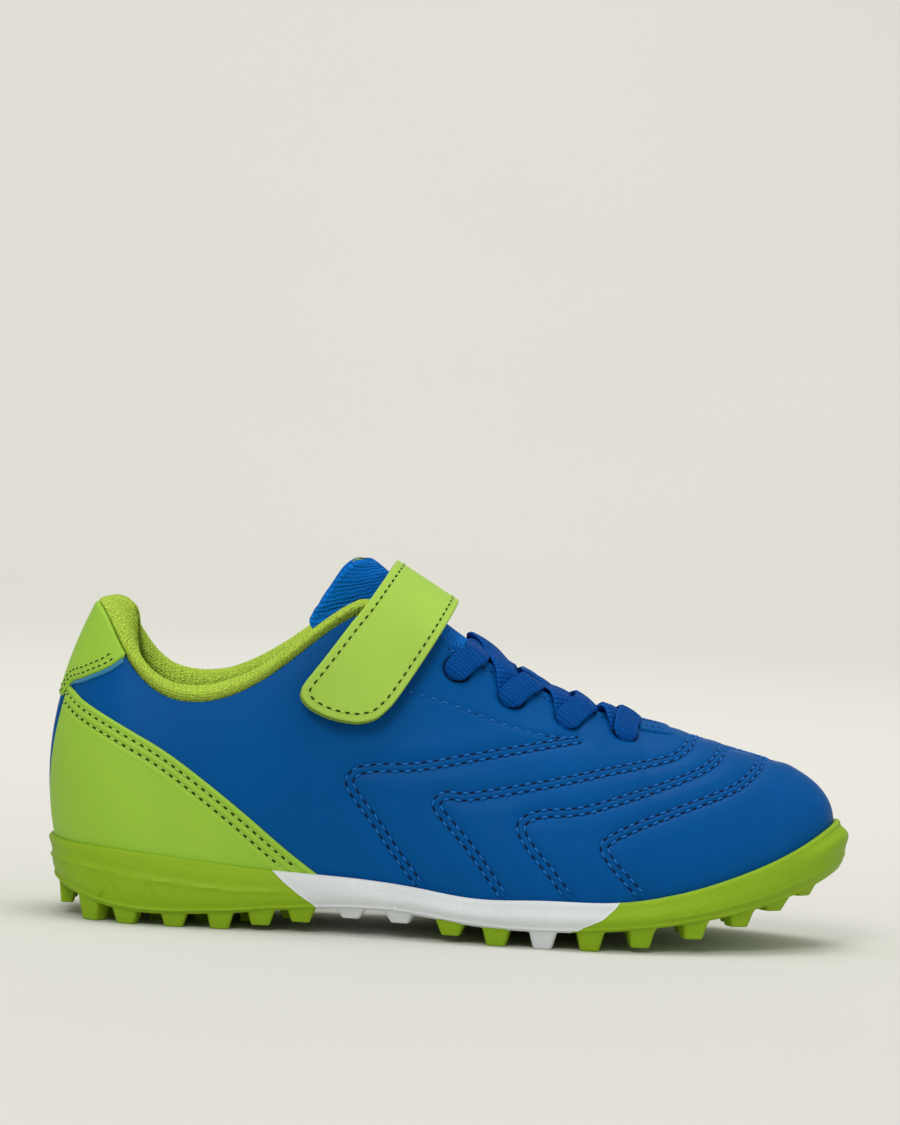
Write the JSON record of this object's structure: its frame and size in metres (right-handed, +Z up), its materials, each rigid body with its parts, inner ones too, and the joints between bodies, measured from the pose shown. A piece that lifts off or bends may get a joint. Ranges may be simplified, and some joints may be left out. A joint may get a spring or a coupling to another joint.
{
  "type": "soccer cleat",
  "caption": "Child's low-cut turf soccer shoe with a studded cup sole, stitched upper, padded collar, elastic lace and a hook-and-loop strap that peels open.",
  "frame": {"origin": "centre of the shoe's box in X and Y, on the ground plane under the studs", "axes": "+X to the toe, +Y to the inner side of the foot, +Z up"},
  "size_m": [0.2117, 0.0804, 0.099],
  "materials": {
    "outsole_green": "satin",
    "outsole_white": "satin",
    "midsole_foam": "matte",
    "board": "matte",
    "insole_fabric": "matte",
    "upper_leather": "satin",
    "heel_leather": "satin",
    "strap_leather": "satin",
    "piping": "satin",
    "stiffener": "matte",
    "vamp_fabric": "matte",
    "collar_knit": "matte",
    "foam": "matte",
    "tongue_knit": "matte",
    "lace_elastic": "matte",
    "loop_tape": "matte",
    "hook_tape": "matte",
    "strap_backing": "matte"
  },
  "bodies": {
    "shoe": {"outsole_heel": "outsole_green", "outsole_shank": "outsole_white", "outsole_forefoot": "outsole_green", "midsole": "midsole_foam", "strobel_board": "board", "insole": "insole_fabric", "upper_shell": "upper_leather", "heel_panel_lateral": "heel_leather", "heel_panel_medial": "heel_leather", "heel_strip": "upper_leather", "heel_tab": "heel_leather", "heel_piping": "piping", "throat_tab": "upper_leather", "heel_counter": "stiffener", "toe_puff": "stiffener", "eyestay_stay_lateral": "stiffener", "eyestay_stay_medial": "stiffener", "vamp_lining": "vamp_fabric", "collar_lining": "collar_knit", "collar_foam": "foam", "tongue_face": "tongue_knit", "tongue_foam": "foam", "tongue_lining": "vamp_fabric", "elastic_lace": "lace_elastic", "quarter_loop_patch": "loop_tape", "strap_anchor": "strap_leather", "strap_anchor_backing": "strap_backing"},
    "strap_bridge_body": {"strap_bridge": "strap_leather", "strap_bridge_backing": "strap_backing"},
    "strap_tip_body": {"strap_tip": "strap_leather", "strap_tip_backing": "strap_backing", "strap_hook_patch": "hook_tape"},
    "tongue_tip_body": {"tongue_tip_face": "tongue_knit", "tongue_tip_foam": "foam", "tongue_tip_lining": "vamp_fabric"}
  },
  "joints": [
    {"name": "strap_open", "type": "hinge", "parent": "shoe", "child": "strap_bridge_body", "pos_m": [-0.01321, 0.01861, 0.08313], "axis": [-0.8613, 0, 0.5081], "range_deg": [0, 120]},
    {"name": "strap_peel", "type": "hinge", "parent": "strap_bridge_body", "child": "strap_tip_body", "pos_m": [-0.01712, -0.02762, 0.0765], "axis": [-0.8613, 0, 0.5081], "range_deg": [0, 60]},
    {"name": "tongue_flex", "type": "hinge", "parent": "shoe", "child": "tongue_tip_body", "pos_m": [-0.01403, -0.00224, 0.0912], "axis": [0, 1, 0], "range_deg": [-12, 12], "stiffness_Nm_per_rad": 0.02}
  ]
}
